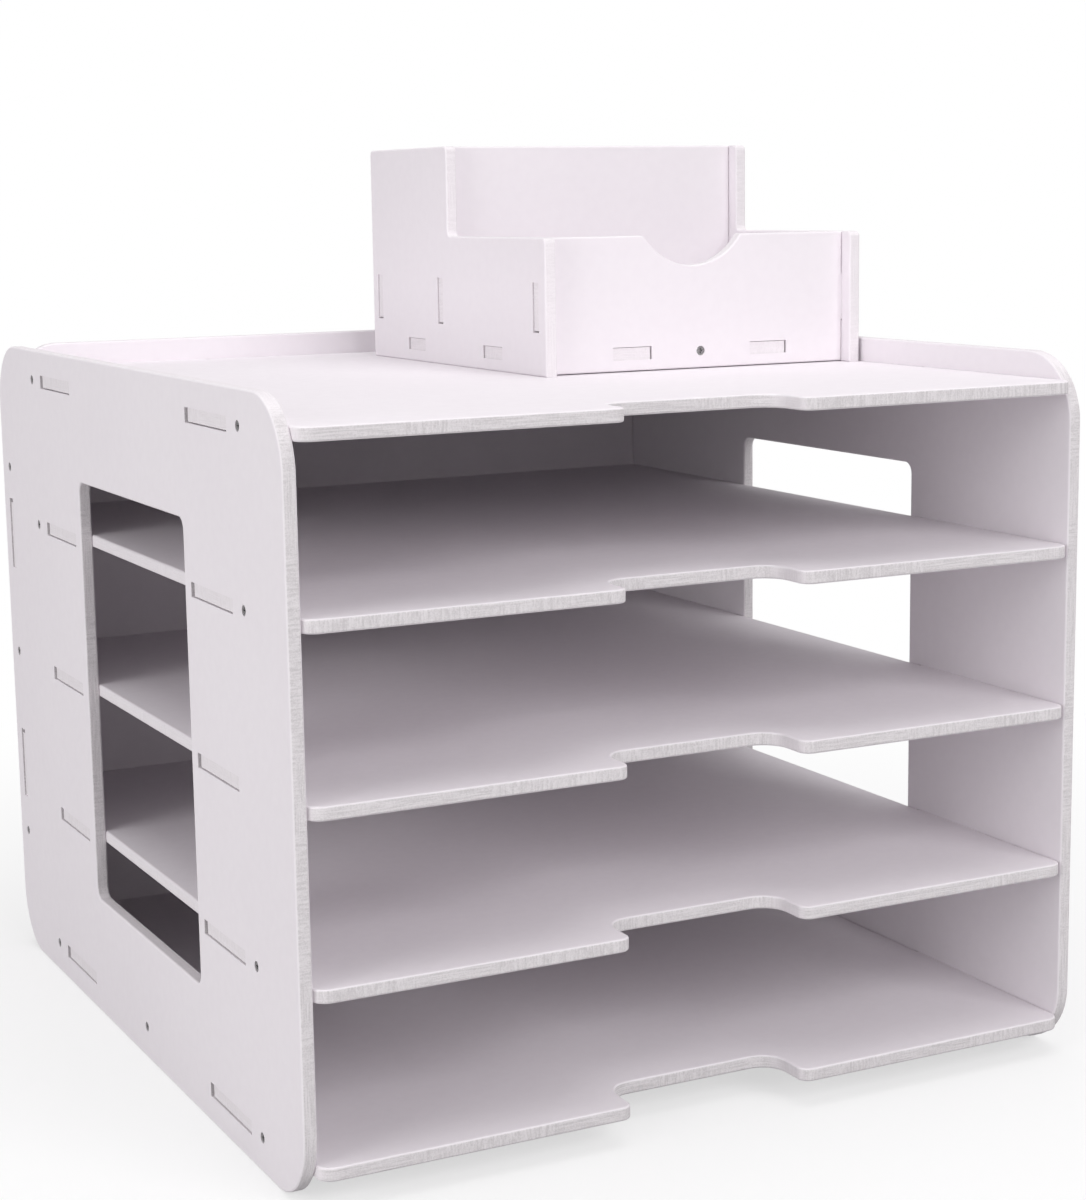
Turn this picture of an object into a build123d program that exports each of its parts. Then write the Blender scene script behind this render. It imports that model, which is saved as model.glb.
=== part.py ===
from build123d import *
import os

# Document holder of white board: two side panels, a back panel and five shelves, joined by through
# tenons and screws, with a pen box of the same board that stands loose on the top shelf.
# X runs across the width, the open front faces -Y, and Z is up.
# The origin is on the ground under the middle of the holder. All lengths are in millimetres.

# Board stock, the same for every panel
board = 5.5
edge_round = 0.9

# Side panels, with the boards that are left around their windows
inner_width = 340.0
side_depth = 385.0
side_corner_radius = 28.5
window_front_margin = 111.0
window_rear_margin = 130.5
window_sill = 55.0
window_head = 55.0
window_corner_radius = 5.0

# Shelves, and how far the sides stand above the top one
bottom_shelf_height = 11.5
shelf_pitch = 68.0
top_rim = 11.0
shelf_overhang = 2.5
shelf_corner_radius = 6.5
finger_notch_width = 78.0
finger_notch_depth = 24.0
finger_notch_front_radius = 5.0
finger_notch_rear_radius = 10.0

# Tenons and slots
shelf_tenon_length = 45.0
front_tenon_setback = 56.0
rear_tenon_setback = 78.0
shelf_back_tenon_offset = 97.5
tenon_root = 3.0
tenon_setback = 0.6
slot_play = 0.5
slot_gap = 2.2

# Back panel
back_inset = 10.0
back_corner_radius = 20.0
back_tenon_length = 32.0
back_tenon_offset = 57.5

# Screws
screw_head_radius = 2.0
screw_head_height = 1.6
screw_head_recess = 0.4
screw_shank_radius = 1.2
screw_reach = 14.0
screw_tip_length = 2.0
screw_hole_clearance = 0.15
screw_cross_length = 2.4
screw_cross_width = 0.6
screw_cross_depth = 0.8
front_screw_setback = 44.0
middle_screw_setback = 186.5
rear_screw_setback = 61.5
back_screw_offset = 91.0

# Pen box
pen_width = 163.5
pen_depth = 190.0
pen_low_height = 60.0
pen_tall_height = 101.5
pen_tall_length = 90.0
pen_corner_radius = 2.5
pen_side_gap = 1.5
pen_rear_gap = 29.0
pen_wall_setback = 6.5
pen_wall_lift = 0.4
pen_slot_play = 0.25
pen_slot_gap = 0.7
pen_wall_tenon_height = 19.7
pen_wall_tenon_length = 21.0
pen_floor_lift = 5.3
pen_floor_tenon_length = 19.0
pen_floor_front_tenon_offset = 35.5
pen_floor_side_tenon_offset = 42.0
pen_notch_radius = 30.0
pen_notch_rise = 16.5
pen_notch_offset = -4.0
pen_notch_corner_radius = 2.0

# Places worked out from the sizes
overall_depth = side_depth + shelf_overhang
shelf_front = -overall_depth / 2
side_front = shelf_front + shelf_overhang
side_back = overall_depth / 2
inner_side = inner_width / 2
outer_side = inner_side + board
back_rear = side_back - back_inset
back_front = back_rear - board
cut_margin = board

shelf_names = ["bottom_shelf", "lower_shelf", "middle_shelf", "upper_shelf", "top_shelf"]
shelf_height = {}
for number, shelf_name in enumerate(shelf_names):
    shelf_height[shelf_name] = bottom_shelf_height + number * shelf_pitch
side_height = shelf_height["top_shelf"] + board + top_rim

window_length = side_depth - window_front_margin - window_rear_margin
window_height = side_height - window_sill - window_head

front_screw = side_front + front_screw_setback
middle_screw = side_front + middle_screw_setback
rear_screw = side_back - rear_screw_setback
shelf_screws = {
    "bottom_shelf": [front_screw, middle_screw, rear_screw],
    "lower_shelf": [front_screw],
    "middle_shelf": [],
    "upper_shelf": [front_screw, rear_screw],
    "top_shelf": [front_screw, rear_screw],
}


def block(x_from, x_to, y_from, y_to, z_from, z_to):
    """A box between two limits along each axis."""
    middle = Pos((x_from + x_to) / 2, (y_from + y_to) / 2, (z_from + z_to) / 2)
    return middle * Box(x_to - x_from, y_to - y_from, z_to - z_from)


def ease_edges(panel, axis):
    """Rounds the rims of both broad faces of a panel whose thickness runs along the axis."""
    faces = panel.faces().sort_by(axis)
    return fillet(faces[0].edges() + faces[-1].edges(), edge_round)


def rod(radius, top, bottom):
    """A round rod on the Z axis between two heights."""
    return Pos(0, 0, (top + bottom) / 2) * Cylinder(radius, top - bottom)


# Screw, drawn along -Z from the outer face of the board that it goes through
seat_depth = screw_head_recess + screw_head_height
shank_end = board + screw_reach - screw_tip_length


def make_screw():
    """One screw with a cross recess in its flat head, a plain shank and a tapered tip."""
    head = rod(screw_head_radius, -screw_head_recess, -seat_depth)
    shank = rod(screw_shank_radius, -seat_depth, -shank_end)
    tip_middle = -shank_end - screw_tip_length / 2
    tip = Pos(0, 0, tip_middle) * Cone(screw_shank_radius / 4, screw_shank_radius, screw_tip_length)
    recess_middle = Pos(0, 0, -screw_head_recess)
    cross = Box(screw_cross_length, screw_cross_width, 2 * screw_cross_depth)
    cross += Box(screw_cross_width, screw_cross_length, 2 * screw_cross_depth)
    return head + shank + tip - recess_middle * cross


def make_screw_hole():
    """The room that one screw takes up in the board under its head and in the board behind."""
    seat = rod(screw_head_radius + screw_hole_clearance, cut_margin, -seat_depth)
    bore = rod(screw_shank_radius + screw_hole_clearance, 0, -board - screw_reach - screw_hole_clearance)
    return seat + bore


def screw_place(x, y, z, outward):
    """Where a screw starts on an outer face, with the way that the face looks."""
    return Plane(origin=(x, y, z), x_dir=(0, 0, 1), z_dir=outward)


screw = make_screw()
screw_hole = make_screw_hole()

# Screw places in the sides: shelf screws in the middle of the shelf's edge, back screws in the back's edge
side_screw_places = {}
for shelf_name in shelf_names:
    screw_height = shelf_height[shelf_name] + board / 2
    places = []
    for screw_y in shelf_screws[shelf_name]:
        places.append(screw_place(outer_side, screw_y, screw_height, (1, 0, 0)))
        places.append(screw_place(-outer_side, screw_y, screw_height, (-1, 0, 0)))
    side_screw_places[shelf_name] = places

back_screw_y = back_front + board / 2
back_screw_places = []
for step in (-1, 0, 1):
    screw_height = side_height / 2 + step * back_screw_offset
    back_screw_places.append(screw_place(outer_side, back_screw_y, screw_height, (1, 0, 0)))
    back_screw_places.append(screw_place(-outer_side, back_screw_y, screw_height, (-1, 0, 0)))
side_screw_places["back_panel"] = back_screw_places

nodes = {}

# Tenons of a shelf along its two ends, as front and rear limits
front_tenon_start = side_front + front_tenon_setback
rear_tenon_end = side_back - rear_tenon_setback
end_tenons = [
    (front_tenon_start, front_tenon_start + shelf_tenon_length),
    (rear_tenon_end - shelf_tenon_length, rear_tenon_end),
]

# Side panels: rounded board with a window, a slot for every tenon and a seat for every screw
side_outline = Pos((side_front + side_back) / 2, side_height / 2) * RectangleRounded(
    side_depth, side_height, side_corner_radius
)
window_middle = Pos(side_front + window_front_margin + window_length / 2, window_sill + window_height / 2)
side_outline -= window_middle * RectangleRounded(window_length, window_height, window_corner_radius)
side_panel = Pos(inner_side, 0, 0) * extrude(Plane.YZ * side_outline, amount=board)
side_panel = ease_edges(side_panel, Axis.X)
for shelf_name in shelf_names:
    slot_floor = shelf_height[shelf_name] - slot_play
    slot_roof = shelf_height[shelf_name] + board
    for tenon_start, tenon_end in end_tenons:
        slot_end = tenon_end + slot_gap
        side_panel -= block(
            inner_side - cut_margin, outer_side + cut_margin, tenon_start, slot_end, slot_floor, slot_roof
        )

# The back's two tenons on each side, as lower and upper limits
back_tenons = []
for step in (-1, 1):
    tenon_middle = side_height / 2 + step * back_tenon_offset
    back_tenons.append((tenon_middle - back_tenon_length / 2, tenon_middle + back_tenon_length / 2))
for tenon_start, tenon_end in back_tenons:
    side_panel -= block(
        inner_side - cut_margin, outer_side + cut_margin,
        back_front, back_rear + slot_play,
        tenon_start, tenon_end + slot_gap,
    )
left_side_panel = mirror(side_panel, about=Plane.YZ)
right_side_panel = side_panel
for places in side_screw_places.values():
    for right_place, left_place in zip(places[0::2], places[1::2]):
        right_side_panel -= right_place * screw_hole
        left_side_panel -= left_place * screw_hole
nodes["left_side_panel"] = left_side_panel
nodes["right_side_panel"] = right_side_panel

# Back panel: stands on the ground between the sides, with slots for the shelves' rear tenons
back_outline = Pos(0, side_height / 2) * RectangleRounded(inner_width, side_height, back_corner_radius)
back_panel = Pos(0, back_rear, 0) * extrude(Plane.XZ * back_outline, amount=board)
back_panel = ease_edges(back_panel, Axis.Y)
shelf_back_tenons = []
for step in (-1, 1):
    tenon_middle = step * shelf_back_tenon_offset
    shelf_back_tenons.append((tenon_middle - shelf_tenon_length / 2, tenon_middle + shelf_tenon_length / 2))
for shelf_name in shelf_names:
    slot_floor = shelf_height[shelf_name] - slot_play
    slot_roof = shelf_height[shelf_name] + board
    for tenon_start, tenon_end in shelf_back_tenons:
        back_panel -= block(
            tenon_start, tenon_end + slot_gap,
            back_front - cut_margin, back_rear + cut_margin,
            slot_floor, slot_roof,
        )
tenon_tip = outer_side - tenon_setback
tenon_foot = inner_side - tenon_root
for tenon_start, tenon_end in back_tenons:
    back_panel += block(tenon_foot, tenon_tip, back_front, back_rear, tenon_start, tenon_end)
    back_panel += block(-tenon_tip, -tenon_foot, back_front, back_rear, tenon_start, tenon_end)
for place in back_screw_places:
    back_panel -= place * screw_hole
nodes["back_panel"] = back_panel

# Shelves: board with rounded front corners and a finger notch, tenons at both ends and at the rear
shelf_outline = Pos(0, (shelf_front + back_front) / 2) * Rectangle(inner_width, back_front - shelf_front)
shelf_outline -= Pos(0, shelf_front) * Rectangle(finger_notch_width, 2 * finger_notch_depth)
notch_rear_corners = shelf_outline.vertices().group_by(Axis.Y)[1]
shelf_outline = fillet(notch_rear_corners, finger_notch_rear_radius)
front_corners = shelf_outline.vertices().group_by(Axis.Y)[0].sort_by(Axis.X)
shelf_outline = fillet(front_corners[1:3], finger_notch_front_radius)
front_corners = shelf_outline.vertices().group_by(Axis.Y)[0].sort_by(Axis.X)
shelf_outline = fillet([front_corners[0], front_corners[-1]], shelf_corner_radius)
plain_shelf = ease_edges(extrude(shelf_outline, amount=board), Axis.Z)
for tenon_start, tenon_end in end_tenons:
    plain_shelf += block(tenon_foot, tenon_tip, tenon_start, tenon_end, 0, board)
    plain_shelf += block(-tenon_tip, -tenon_foot, tenon_start, tenon_end, 0, board)
rear_tenon_tip = back_rear - tenon_setback
for tenon_start, tenon_end in shelf_back_tenons:
    plain_shelf += block(tenon_start, tenon_end, back_front - tenon_root, rear_tenon_tip, 0, board)
for shelf_name in shelf_names:
    shelf = Pos(0, 0, shelf_height[shelf_name]) * plain_shelf
    for place in side_screw_places[shelf_name]:
        shelf -= place * screw_hole
    nodes[shelf_name] = shelf

# Screws through the sides, one group for each board that they hold
for held_board, places in side_screw_places.items():
    if places:
        nodes[held_board + "_screws"] = Compound([place * screw for place in places])

# Pen box, standing on the top shelf near the right side and the back
pen_base = shelf_height["top_shelf"] + board
pen_right = inner_side - pen_side_gap
pen_left = pen_right - pen_width
pen_centre = (pen_left + pen_right) / 2
pen_inner_left = pen_left + board
pen_inner_right = pen_right - board
pen_left_tip = pen_left + tenon_setback
pen_right_tip = pen_right - tenon_setback
pen_back = back_front - pen_rear_gap
pen_front = pen_back - pen_depth
pen_step = pen_back - pen_tall_length
pen_middle = (pen_front + pen_back) / 2
floor_bottom = pen_base + pen_floor_lift
floor_top = floor_bottom + board
wall_tenon_bottom = pen_base + pen_wall_tenon_height
wall_tenon_top = wall_tenon_bottom + pen_wall_tenon_length

# Front faces of the three cross walls
front_wall_face = pen_front + pen_wall_setback
divider_face = pen_step + pen_wall_setback
back_wall_face = pen_back - pen_wall_setback - board
cross_wall_faces = [front_wall_face, divider_face, back_wall_face]

# The floor's tenons through the side walls, and through the front and back walls
floor_side_tenons = []
floor_wall_tenons = []
for step in (-1, 1):
    tenon_middle = pen_middle + step * pen_floor_side_tenon_offset
    floor_side_tenons.append(
        (tenon_middle - pen_floor_tenon_length / 2, tenon_middle + pen_floor_tenon_length / 2)
    )
    tenon_middle = pen_centre + step * pen_floor_front_tenon_offset
    floor_wall_tenons.append(
        (tenon_middle - pen_floor_tenon_length / 2, tenon_middle + pen_floor_tenon_length / 2)
    )

# Side walls of the pen box: low in front, tall behind, slotted for the cross walls and the floor
pen_side_points = [
    (pen_front, pen_base),
    (pen_back, pen_base),
    (pen_back, pen_base + pen_tall_height),
    (pen_step, pen_base + pen_tall_height),
    (pen_step, pen_base + pen_low_height),
    (pen_front, pen_base + pen_low_height),
]
pen_side_outline = make_face(Polyline(*pen_side_points, close=True))
upper_corners = [corner for corner in pen_side_outline.vertices() if corner.Y > wall_tenon_top]
pen_side_outline = fillet(upper_corners, pen_corner_radius)
pen_side = Pos(pen_left, 0, 0) * extrude(Plane.YZ * pen_side_outline, amount=board)
pen_side = ease_edges(pen_side, Axis.X)
for wall_face in cross_wall_faces:
    pen_side -= block(
        pen_left - cut_margin, pen_inner_left + cut_margin,
        wall_face, wall_face + board + pen_slot_play,
        wall_tenon_bottom - pen_slot_gap, wall_tenon_top,
    )
for tenon_start, tenon_end in floor_side_tenons:
    pen_side -= block(
        pen_left - cut_margin, pen_inner_left + cut_margin,
        tenon_start, tenon_end + pen_slot_gap,
        floor_bottom, floor_top + pen_slot_play,
    )
nodes["pen_box_left_wall"] = pen_side
nodes["pen_box_right_wall"] = Pos(pen_width - board, 0, 0) * pen_side


def make_cross_wall(outline, wall_face):
    """A wall across the pen box, with one tenon through each side wall."""
    wall = Pos(0, wall_face + board, 0) * extrude(Plane.XZ * outline, amount=board)
    wall = ease_edges(wall, Axis.Y)
    rear_face = wall_face + board
    wall += block(
        pen_left_tip, pen_inner_left + tenon_root, wall_face, rear_face, wall_tenon_bottom, wall_tenon_top
    )
    wall += block(
        pen_inner_right - tenon_root, pen_right_tip, wall_face, rear_face, wall_tenon_bottom, wall_tenon_top
    )
    return wall


def slot_for_floor(wall, wall_face):
    """Opens the two slots that the floor's tenons pass through."""
    for tenon_start, tenon_end in floor_wall_tenons:
        wall -= block(
            tenon_start, tenon_end + pen_slot_gap,
            wall_face - cut_margin, wall_face + board + cut_margin,
            floor_bottom, floor_top + pen_slot_play,
        )
    return wall


def wall_outline(bottom, top):
    """The upright rectangle of a cross wall between the side walls."""
    return Pos(pen_centre, (bottom + top) / 2) * Rectangle(pen_inner_right - pen_inner_left, top - bottom)


pen_screw_height = floor_bottom + board / 2
pen_screw_places = [
    screw_place(pen_centre, front_wall_face, pen_screw_height, (0, -1, 0)),
    screw_place(pen_centre, back_wall_face + board, pen_screw_height, (0, 1, 0)),
]

# Front wall: low, with a round notch in its top edge
front_wall_top = pen_base + pen_low_height
front_outline = wall_outline(pen_base + pen_wall_lift, front_wall_top)
pen_notch_x = pen_centre + pen_notch_offset
front_outline -= Pos(pen_notch_x, front_wall_top + pen_notch_rise) * Circle(pen_notch_radius)
notch_mouth = [
    corner for corner in front_outline.vertices() if abs(corner.X - pen_notch_x) < pen_notch_radius
]
front_outline = fillet(notch_mouth, pen_notch_corner_radius)
front_wall = slot_for_floor(make_cross_wall(front_outline, front_wall_face), front_wall_face)
nodes["pen_box_front_wall"] = front_wall - pen_screw_places[0] * screw_hole

# Divider: tall, standing on the floor between the low tray and the pens
divider_outline = wall_outline(floor_top, pen_base + pen_tall_height)
nodes["pen_box_divider"] = make_cross_wall(divider_outline, divider_face)

# Back wall: tall, closing the pen compartment
back_wall_outline = wall_outline(pen_base + pen_wall_lift, pen_base + pen_tall_height)
back_wall = slot_for_floor(make_cross_wall(back_wall_outline, back_wall_face), back_wall_face)
nodes["pen_box_back_wall"] = back_wall - pen_screw_places[1] * screw_hole

# Floor: between the four outer walls, carried by its tenons
floor_front = front_wall_face + board
floor_outline = Pos(pen_centre, (floor_front + back_wall_face) / 2) * Rectangle(
    pen_inner_right - pen_inner_left, back_wall_face - floor_front
)
pen_floor = Pos(0, 0, floor_bottom) * extrude(floor_outline, amount=board)
front_tip = front_wall_face + tenon_setback
rear_tip = back_wall_face + board - tenon_setback
for tenon_start, tenon_end in floor_side_tenons:
    pen_floor += block(
        pen_left_tip, pen_inner_left + tenon_root, tenon_start, tenon_end, floor_bottom, floor_top
    )
    pen_floor += block(
        pen_inner_right - tenon_root, pen_right_tip, tenon_start, tenon_end, floor_bottom, floor_top
    )
for tenon_start, tenon_end in floor_wall_tenons:
    pen_floor += block(
        tenon_start, tenon_end, front_tip, floor_front + tenon_root, floor_bottom, floor_top
    )
    pen_floor += block(
        tenon_start, tenon_end, back_wall_face - tenon_root, rear_tip, floor_bottom, floor_top
    )
for place in pen_screw_places:
    pen_floor -= place * screw_hole
nodes["pen_box_floor"] = pen_floor
nodes["pen_box_screws"] = Compound([place * screw for place in pen_screw_places])

os.makedirs("parts", exist_ok=True)
for node_name, node in nodes.items():
    export_step(node, f"parts/{node_name}.step")
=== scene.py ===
import bpy
import math
from mathutils import Matrix, Vector

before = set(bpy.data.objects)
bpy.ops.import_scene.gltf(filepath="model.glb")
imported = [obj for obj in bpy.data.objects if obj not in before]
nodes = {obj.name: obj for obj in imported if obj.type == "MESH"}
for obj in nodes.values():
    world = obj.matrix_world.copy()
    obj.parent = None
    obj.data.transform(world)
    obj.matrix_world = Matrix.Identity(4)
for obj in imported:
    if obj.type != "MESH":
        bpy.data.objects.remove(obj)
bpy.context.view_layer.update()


# Side panels: two boards of white foamed plastic, routed to shape with a window and slots.
# Their faces keep the smooth matt skin of the board; the routed edges show its grainy core.
# They stand on edge and carry everything else, held by through tenons and screws.
BOARD_SKIN = (0.850, 0.808, 0.842, 1.0)
BOARD_SKIN_SHADE = (0.824, 0.780, 0.816, 1.0)
# The core colours are light where its grain is high and darker in its pits: partly the core's own grain,
# partly painted shade in the pits.
FINE_CORE = (0.835, 0.795, 0.822, 1.0)
FINE_CORE_GRAIN_AND_PIT_SHADE = (0.770, 0.730, 0.756, 1.0)
SAWN_CORE = (0.765, 0.732, 0.750, 1.0)
SAWN_CORE_GRAIN_AND_PIT_SHADE = (0.600, 0.570, 0.584, 1.0)
BOARD_IOR = 1.47
BOARD_GLOSS = 0.22
SKIN_DIMPLE_DEPTH = 0.000012
FINE_CUT_DEPTH = 0.00008
SAWN_CUT_DEPTH = 0.00022


def link(tree, source, target):
    tree.links.new(source, target)


def number_node(tree, operation, first, second=None):
    """A math node on one or two values, each a socket or a number."""
    node = tree.nodes.new("ShaderNodeMath")
    node.operation = operation
    for socket, value in zip(node.inputs, (first, second)):
        if value is None:
            continue
        if isinstance(value, (int, float)):
            socket.default_value = value
        else:
            link(tree, value, socket)
    return node.outputs[0]


def range_node(tree, value, low, high, to_low=0.0, to_high=1.0):
    """A smooth step of a value between two limits."""
    node = tree.nodes.new("ShaderNodeMapRange")
    node.interpolation_type = "SMOOTHSTEP"
    node.inputs["From Min"].default_value = low
    node.inputs["From Max"].default_value = high
    node.inputs["To Min"].default_value = to_low
    node.inputs["To Max"].default_value = to_high
    link(tree, value, node.inputs["Value"])
    return node.outputs["Result"]


def grain_node(tree, place, stretch, scale, detail=3.0, rough=0.55):
    """A noise on the piece's own coordinates, stretched along its axes."""
    mapping = tree.nodes.new("ShaderNodeMapping")
    mapping.inputs["Scale"].default_value = stretch
    link(tree, place, mapping.inputs["Vector"])
    noise = tree.nodes.new("ShaderNodeTexNoise")
    noise.inputs["Scale"].default_value = scale
    noise.inputs["Detail"].default_value = detail
    noise.inputs["Roughness"].default_value = rough
    link(tree, mapping.outputs["Vector"], noise.inputs["Vector"])
    return noise.outputs["Fac"]


def tint_node(tree, factor, first, second):
    """A mix of two colours, each a socket or a colour."""
    node = tree.nodes.new("ShaderNodeMix")
    node.data_type = "RGBA"
    link(tree, factor, node.inputs["Factor"])
    for socket, colour in zip((node.inputs[6], node.inputs[7]), (first, second)):
        if isinstance(colour, tuple):
            socket.default_value = colour
        else:
            link(tree, colour, socket)
    return node.outputs[2]


def blend_node(tree, factor, first, second):
    """A mix of two values that are both sockets."""
    node = tree.nodes.new("ShaderNodeMix")
    link(tree, factor, node.inputs["Factor"])
    link(tree, first, node.inputs["A"])
    link(tree, second, node.inputs["B"])
    return node.outputs["Result"]


def make_board_finish(name, thin_axis, sawn_fronts):
    """White board whose thickness runs along one axis: matt skin on its faces, bare core on its edges.

    The core is coarse and streaky on edges that face the front or the rear where sawn_fronts is set."""
    finish = bpy.data.materials.new(name)
    finish.use_nodes = True
    tree = finish.node_tree
    shader = tree.nodes["Principled BSDF"]
    shader.inputs["IOR"].default_value = BOARD_IOR
    shader.inputs["Specular IOR Level"].default_value = BOARD_GLOSS
    coordinates = tree.nodes.new("ShaderNodeTexCoord")
    place = coordinates.outputs["Object"]
    facing = tree.nodes.new("ShaderNodeSeparateXYZ")
    link(tree, coordinates.outputs["Normal"], facing.inputs["Vector"])
    toward_face = number_node(tree, "ABSOLUTE", facing.outputs[thin_axis])
    cut = range_node(tree, toward_face, low=0.30, high=0.72, to_low=1.0, to_high=0.0)

    # Noises of the skin, then those of the cut core: streaks across the edge and lines along it
    even = (1.0, 1.0, 1.0)
    across = [1.0, 1.0, 1.0]
    across[thin_axis] = 0.16
    along = [0.035, 0.035, 0.035]
    along[thin_axis] = 1.0
    cloud = grain_node(tree, place, even, scale=7.0, detail=2.0)
    dimples = grain_node(tree, place, even, scale=950.0, detail=2.0)
    mottle = grain_node(tree, place, even, scale=210.0)
    speckle = grain_node(tree, place, even, scale=1500.0, detail=4.0, rough=0.7)
    streaks = grain_node(tree, place, across, scale=1050.0, rough=0.62)
    lines = grain_node(tree, place, along, scale=2600.0, detail=2.0)
    stretch_of_cut = grain_node(tree, place, even, scale=34.0, detail=2.0)

    skin = number_node(
        tree, "ADD",
        range_node(tree, cloud, low=0.30, high=0.70, to_high=0.6),
        range_node(tree, mottle, low=0.30, high=0.72, to_high=0.4),
    )
    skin_colour = tint_node(tree, skin, BOARD_SKIN, BOARD_SKIN_SHADE)

    lined = range_node(tree, stretch_of_cut, low=0.42, high=0.58)
    cut_marks = blend_node(tree, lined, streaks, lines)
    grain = number_node(
        tree, "ADD",
        number_node(tree, "MULTIPLY", cut_marks, 0.55),
        number_node(tree, "MULTIPLY", speckle, 0.45),
    )
    # Painted shade in the pits: the core takes its darker colour where the grain is low, the same spots the
    # bump sinks; partly it is the core's own grain.
    lightness = range_node(tree, grain, low=0.36, high=0.62)
    core_colour = tint_node(tree, lightness, FINE_CORE_GRAIN_AND_PIT_SHADE, FINE_CORE)
    cut_depth = FINE_CUT_DEPTH
    if sawn_fronts:
        toward_front = number_node(tree, "ABSOLUTE", facing.outputs[1])
        sawn = range_node(tree, toward_front, low=0.45, high=0.85)
        # The same painted shade in the pits, deeper on the sawn edges, partly their own coarse grain.
        sawn_colour = tint_node(tree, lightness, SAWN_CORE_GRAIN_AND_PIT_SHADE, SAWN_CORE)
        core_colour = tint_node(tree, sawn, core_colour, sawn_colour)
        cut_depth = range_node(tree, sawn, low=0.0, high=1.0, to_low=FINE_CUT_DEPTH, to_high=SAWN_CUT_DEPTH)
    link(tree, tint_node(tree, cut, skin_colour, core_colour), shader.inputs["Base Color"])

    skin_rough = range_node(tree, mottle, low=0.3, high=0.7, to_low=0.64, to_high=0.76)
    core_rough = range_node(tree, grain, low=0.36, high=0.62, to_low=0.92, to_high=0.74)
    link(tree, blend_node(tree, cut, skin_rough, core_rough), shader.inputs["Roughness"])

    grain_depth = number_node(tree, "MULTIPLY", cut, cut_depth)
    height = number_node(
        tree, "ADD",
        number_node(tree, "MULTIPLY", dimples, SKIN_DIMPLE_DEPTH),
        number_node(tree, "MULTIPLY", grain, grain_depth),
    )
    bump = tree.nodes.new("ShaderNodeBump")
    bump.inputs["Strength"].default_value = 0.8
    bump.inputs["Distance"].default_value = 1.0
    link(tree, height, bump.inputs["Height"])
    link(tree, bump.outputs["Normal"], shader.inputs["Normal"])
    return finish


def finish_nodes(finish, names):
    """Gives CAD nodes their finish in place of the plain one."""
    for name in names:
        for slot in nodes[name].material_slots:
            slot.material = finish


side_board = make_board_finish("holder_side_board", thin_axis=0, sawn_fronts=True)
finish_nodes(side_board, ["left_side_panel", "right_side_panel"])


# Back panel: one board of the same white stock between the sides, near their rear edges.
# Two tenons on each side pass through the side panels, with three screws beside them.
back_board = make_board_finish("holder_back_board", thin_axis=1, sawn_fronts=False)
finish_nodes(back_board, ["back_panel"])


# Shelves: five equal boards of the same stock, each with a finger notch in its front edge.
# Their tenons pass through the sides and the back; the sawn front edges show the coarse core.
shelf_board = make_board_finish("holder_shelf_board", thin_axis=2, sawn_fronts=True)
finish_nodes(shelf_board, ["bottom_shelf", "lower_shelf", "middle_shelf", "upper_shelf", "top_shelf"])


# Holder screws: small dark steel screws with a cross recess, driven through the side panels.
# Their heads sit a little under the face of the board, at the ends of the shelves and the back.
SCREW_STEEL = (0.210, 0.205, 0.210, 1.0)
SCREW_STEEL_WORN = (0.420, 0.410, 0.412, 1.0)
screw_finish = bpy.data.materials.new("dark_screw_steel")
screw_finish.use_nodes = True
screw_tree = screw_finish.node_tree
screw_shader = screw_tree.nodes["Principled BSDF"]
screw_shader.inputs["Metallic"].default_value = 0.85
screw_place = screw_tree.nodes.new("ShaderNodeTexCoord").outputs["Object"]
screw_wear = grain_node(screw_tree, screw_place, (1.0, 1.0, 1.0), scale=1800.0)
screw_worn = range_node(screw_tree, screw_wear, low=0.45, high=0.7)
screw_colour = tint_node(screw_tree, screw_worn, SCREW_STEEL, SCREW_STEEL_WORN)
screw_rough = range_node(screw_tree, screw_wear, low=0.3, high=0.7, to_low=0.34, to_high=0.52)
link(screw_tree, screw_colour, screw_shader.inputs["Base Color"])
link(screw_tree, screw_rough, screw_shader.inputs["Roughness"])
finish_nodes(screw_finish, ["bottom_shelf_screws", "lower_shelf_screws", "upper_shelf_screws",
                            "top_shelf_screws", "back_panel_screws"])


# Pen box side walls: two stepped boards of the white stock, low in front and tall behind.
# They stand on the top shelf and are slotted for the cross walls and for the floor.
pen_side_board = make_board_finish("pen_box_side_board", thin_axis=0, sawn_fronts=False)
finish_nodes(pen_side_board, ["pen_box_left_wall", "pen_box_right_wall"])


# Pen box cross walls: a low front wall with a round notch, a tall divider and a tall back wall.
# Each has one tenon through each side wall; the front and the back are screwed to the floor.
pen_wall_board = make_board_finish("pen_box_wall_board", thin_axis=1, sawn_fronts=False)
finish_nodes(pen_wall_board, ["pen_box_front_wall", "pen_box_divider", "pen_box_back_wall"])


# Pen box floor: a board of the white stock that lies between the walls, a little above the shelf.
# It is carried by its tenons, which show on all four sides of the box.
pen_floor_board = make_board_finish("pen_box_floor_board", thin_axis=2, sawn_fronts=False)
finish_nodes(pen_floor_board, ["pen_box_floor"])


# Pen box screws: the same small dark steel screws as in the holder.
# One goes through the front wall and one through the back wall, into the edge of the floor.
finish_nodes(screw_finish, ["pen_box_screws"])


# Studio: a plain pale floor that fades into white around the holder and keeps its shadow.
# The world is white where it is seen, and lights the holder softly from all around.
# Three soft box lamps stand in front, above and to the left.
WHITE = (1.0, 1.0, 1.0, 1.0)
FLOOR_SIZE = 12.0
FLOOR_PALE = (0.95, 0.95, 0.95, 1.0)
FLOOR_BOUNCE = (0.50, 0.50, 0.50, 1.0)
FADE_START = 0.22
FADE_END = 0.70
WORLD_TINT = (1.0, 0.985, 1.0, 1.0)
WORLD_STRENGTH = 0.40


def seen_rays(tree):
    """One for rays from the camera, also by way of gloss or glass, and zero for rays of light."""
    rays = tree.nodes.new("ShaderNodeLightPath")
    glossy = rays.outputs["Is Glossy Ray"]
    through = rays.outputs["Is Transmission Ray"]
    by_way = number_node(tree, "MAXIMUM", glossy, through)
    return number_node(tree, "MAXIMUM", rays.outputs["Is Camera Ray"], by_way)


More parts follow.
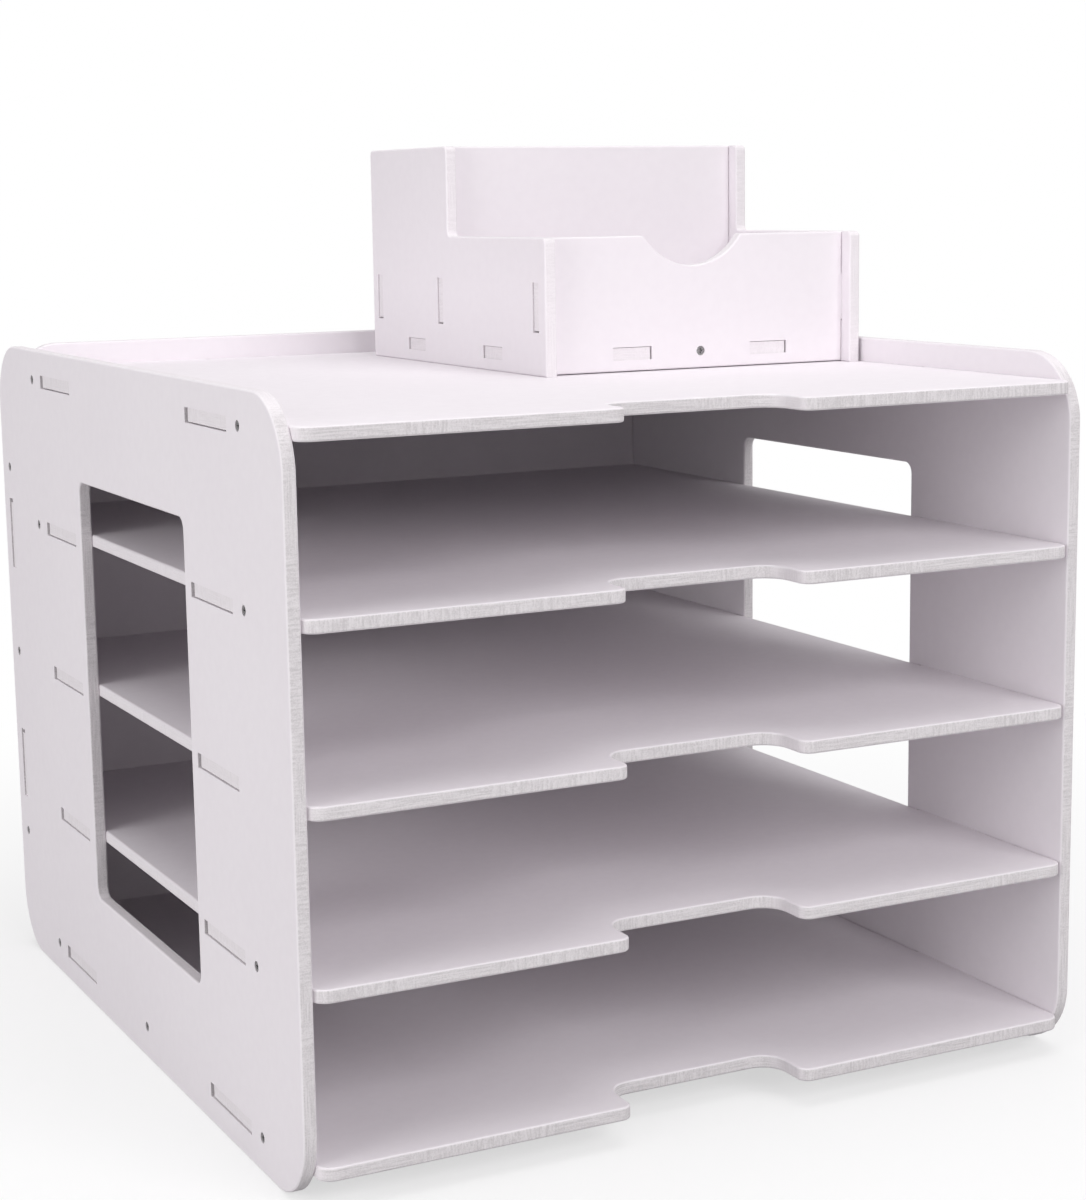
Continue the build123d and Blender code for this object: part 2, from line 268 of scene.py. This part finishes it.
bpy.ops.mesh.primitive_plane_add(size=FLOOR_SIZE, location=(0.0, 0.0, 0.0))
floor = bpy.context.object
floor.name = "studio_floor"
floor_finish = bpy.data.materials.new("studio_floor_white")
floor_finish.use_nodes = True
floor_tree = floor_finish.node_tree
floor_shader = floor_tree.nodes["Principled BSDF"]
floor_shader.inputs["Roughness"].default_value = 0.9
floor_shader.inputs["Specular IOR Level"].default_value = 0.0
floor_glow = floor_tree.nodes.new("ShaderNodeEmission")
floor_glow.inputs["Color"].default_value = WHITE
floor_glow.inputs["Strength"].default_value = 1.0
floor_seen = seen_rays(floor_tree)
floor_colour = tint_node(floor_tree, floor_seen, FLOOR_BOUNCE, FLOOR_PALE)
link(floor_tree, floor_colour, floor_shader.inputs["Base Color"])
floor_distance = floor_tree.nodes.new("ShaderNodeVectorMath")
floor_distance.operation = "LENGTH"
floor_place = floor_tree.nodes.new("ShaderNodeTexCoord").outputs["Object"]
link(floor_tree, floor_place, floor_distance.inputs[0])
floor_white = range_node(floor_tree, floor_distance.outputs["Value"], FADE_START, FADE_END, to_low=0.60)
floor_mix = floor_tree.nodes.new("ShaderNodeMixShader")
link(floor_tree, number_node(floor_tree, "MULTIPLY", floor_seen, floor_white), floor_mix.inputs["Fac"])
link(floor_tree, floor_shader.outputs["BSDF"], floor_mix.inputs[1])
link(floor_tree, floor_glow.outputs["Emission"], floor_mix.inputs[2])
link(floor_tree, floor_mix.outputs["Shader"], floor_tree.nodes["Material Output"].inputs["Surface"])
floor.data.materials.append(floor_finish)

world = bpy.data.worlds.new("studio_world")
bpy.context.scene.world = world
world.use_nodes = True
world_tree = world.node_tree
world_light = world_tree.nodes["Background"]
world_light.inputs["Color"].default_value = WORLD_TINT
world_light.inputs["Strength"].default_value = WORLD_STRENGTH
world_white = world_tree.nodes.new("ShaderNodeBackground")
world_white.inputs["Color"].default_value = WHITE
world_white.inputs["Strength"].default_value = 1.0
world_mix = world_tree.nodes.new("ShaderNodeMixShader")
link(world_tree, seen_rays(world_tree), world_mix.inputs["Fac"])
link(world_tree, world_light.outputs["Background"], world_mix.inputs[1])
link(world_tree, world_white.outputs["Background"], world_mix.inputs[2])
link(world_tree, world_mix.outputs["Shader"], world_tree.nodes["World Output"].inputs["Surface"])


def add_soft_light(name, place, aim, width, height, power):
    """A soft box lamp at a place, turned towards a point."""
    lamp = bpy.data.lights.new(name, "AREA")
    lamp.shape = "RECTANGLE"
    lamp.size = width
    lamp.size_y = height
    lamp.energy = power
    lamp_object = bpy.data.objects.new(name, lamp)
    lamp_object.location = place
    toward = Vector(aim) - Vector(place)
    lamp_object.rotation_euler = toward.to_track_quat("-Z", "Y").to_euler()
    bpy.context.scene.collection.objects.link(lamp_object)


add_soft_light("front_light", (0.5, -2.2, 1.3), aim=(0.0, 0.0, 0.2), width=1.6, height=1.2, power=27.0)
add_soft_light("top_light", (0.1, -0.1, 2.2), aim=(0.0, 0.0, 0.3), width=1.8, height=1.8, power=19.3)
add_soft_light("left_light", (-2.2, -0.6, 0.6), aim=(0.0, 0.0, 0.2), width=1.4, height=1.2, power=21.5)


# Camera: at the viewing angle of the photograph, a little above the top shelf and to the left.
# Its lens is centred and everything is sharp, so that other views can move it.
camera_place = Vector((-0.46897, -0.96981, 0.36589))
camera_yaw = math.radians(26.867)
camera_pitch = math.radians(9.522)
camera_roll = math.radians(-0.853)
forward = Vector((
    math.sin(camera_yaw) * math.cos(camera_pitch),
    math.cos(camera_yaw) * math.cos(camera_pitch),
    -math.sin(camera_pitch),
))
level_right = Vector((math.cos(camera_yaw), -math.sin(camera_yaw), 0.0))
level_up = level_right.cross(forward)
right = math.cos(camera_roll) * level_right + math.sin(camera_roll) * level_up
up = -math.sin(camera_roll) * level_right + math.cos(camera_roll) * level_up
camera = bpy.data.cameras.new("photo_camera")
camera.sensor_width = 36.0
camera.lens = 71.81
camera_object = bpy.data.objects.new("photo_camera", camera)
turn = Matrix((right, up, -forward)).transposed()
camera_object.matrix_world = Matrix.Translation(camera_place) @ turn.to_4x4()
bpy.context.scene.collection.objects.link(camera_object)
bpy.context.scene.camera = camera_object
bpy.context.scene.view_settings.view_transform = "Standard"
